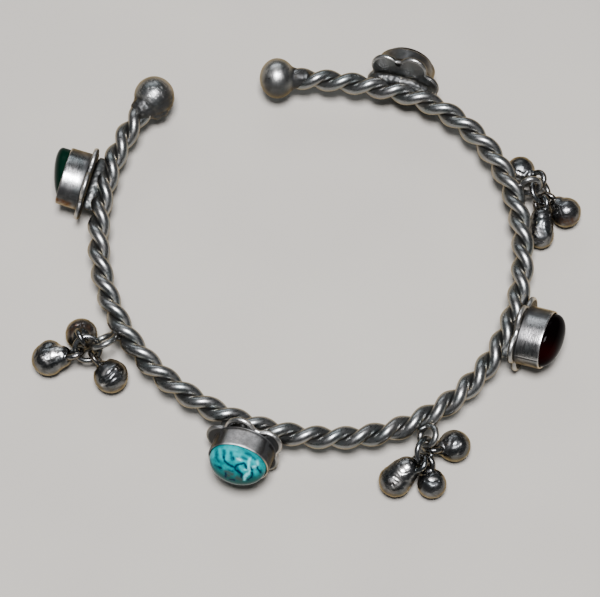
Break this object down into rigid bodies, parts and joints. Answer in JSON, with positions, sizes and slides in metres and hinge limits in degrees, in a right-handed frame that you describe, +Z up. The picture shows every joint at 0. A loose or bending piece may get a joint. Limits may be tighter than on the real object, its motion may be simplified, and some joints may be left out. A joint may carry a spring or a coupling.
{
  "type": "open cuff bangle",
  "caption": "Open cuff bangle of twisted wire with ball ends, oval cabochons in high bezels on lobed plates, and clusters of cast drops on linking rings.",
  "frame": {"origin": "middle of the bangle's box on the surface it lies on", "axes": "+Z up through the bangle's opening, +Y towards the gap between the ball ends, +X to the right as seen from the front"},
  "size_m": [0.0852, 0.0794, 0.0098],
  "materials": {
    "silver": "polished silver darkened by oxidation, black in the recesses",
    "cast_silver": "oxidised cast silver, glossy, dented and scratched",
    "green_stone": "polished very dark green cabochon",
    "turquoise_stone": "polished turquoise with dark veins",
    "red_stone": "polished near-black red cabochon"
  },
  "bodies": {
    "root": {"band": "silver", "stone_left": "green_stone", "stone_front": "turquoise_stone", "stone_right": "red_stone", "stone_back": "red_stone", "ring_left": "silver", "ring_front": "silver", "ring_right": "silver", "drop_left_1": "cast_silver", "drop_left_2": "cast_silver", "drop_left_3": "cast_silver", "drop_front_1": "cast_silver", "drop_front_2": "cast_silver", "drop_front_3": "cast_silver", "drop_right_1": "cast_silver", "drop_right_2": "cast_silver", "drop_right_3": "cast_silver"}
  },
  "joints": []
}
